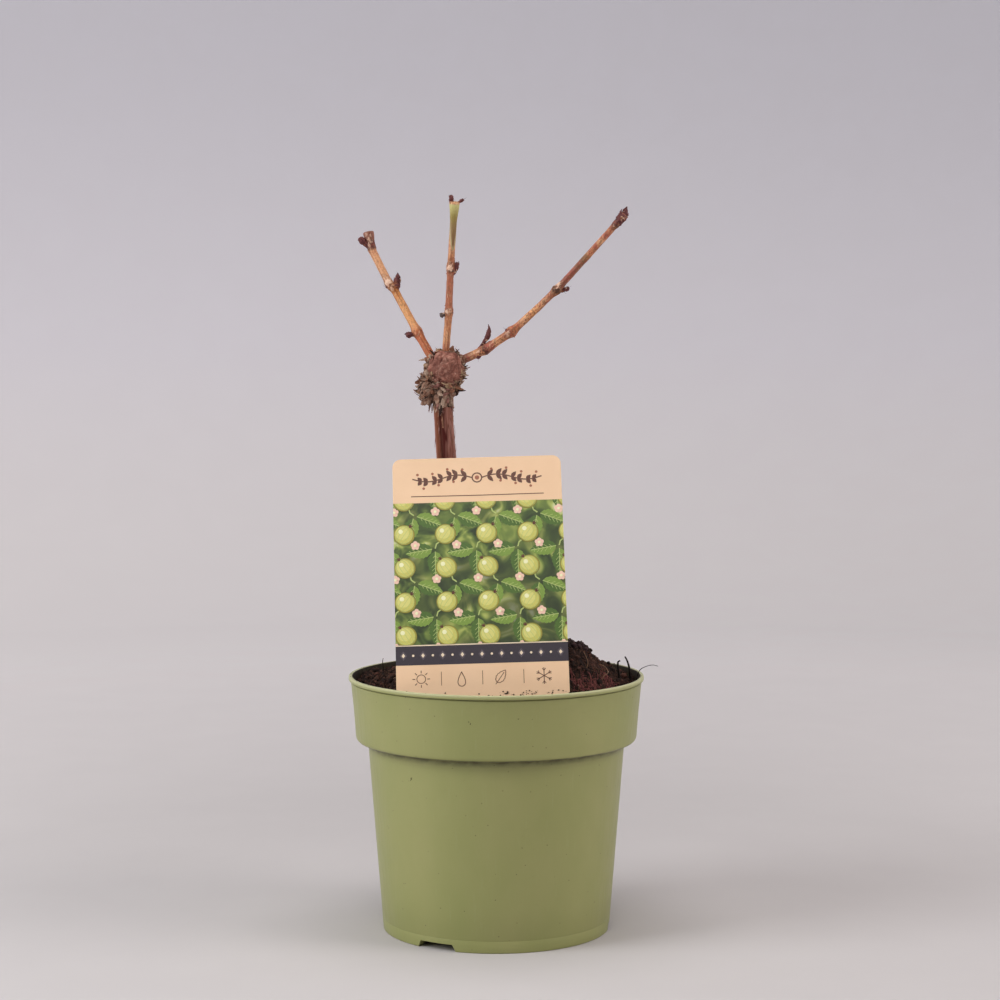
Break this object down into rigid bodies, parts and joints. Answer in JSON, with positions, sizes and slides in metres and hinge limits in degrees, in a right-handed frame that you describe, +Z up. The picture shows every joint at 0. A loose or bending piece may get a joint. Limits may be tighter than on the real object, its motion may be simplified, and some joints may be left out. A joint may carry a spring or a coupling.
{
  "type": "grapevine",
  "caption": "Dormant young grapevine with a short trunk, a gnarled head and three cut-back canes, standing in a filled round nursery pot with a large plant label pushed in at its front.",
  "frame": {"origin": "on the ground under the pot, on the pot's axis", "axes": "+Z up along the pot's axis; -Y is the front, where the plant label faces; +X is to the right as seen from the front"},
  "size_m": [0.19, 0.19, 0.4712],
  "materials": {
    "pot_plastic": "satin",
    "potting_soil": "matte",
    "trunk_bark": "matte",
    "head_bark": "matte",
    "cane_bark": "satin",
    "label_plastic": "satin"
  },
  "bodies": {
    "root": {"pot": "pot_plastic", "soil": "potting_soil", "trunk": "trunk_bark", "head": "head_bark", "cane_left": "cane_bark", "cane_middle": "cane_bark", "cane_right": "cane_bark", "label": "label_plastic"}
  },
  "joints": []
}
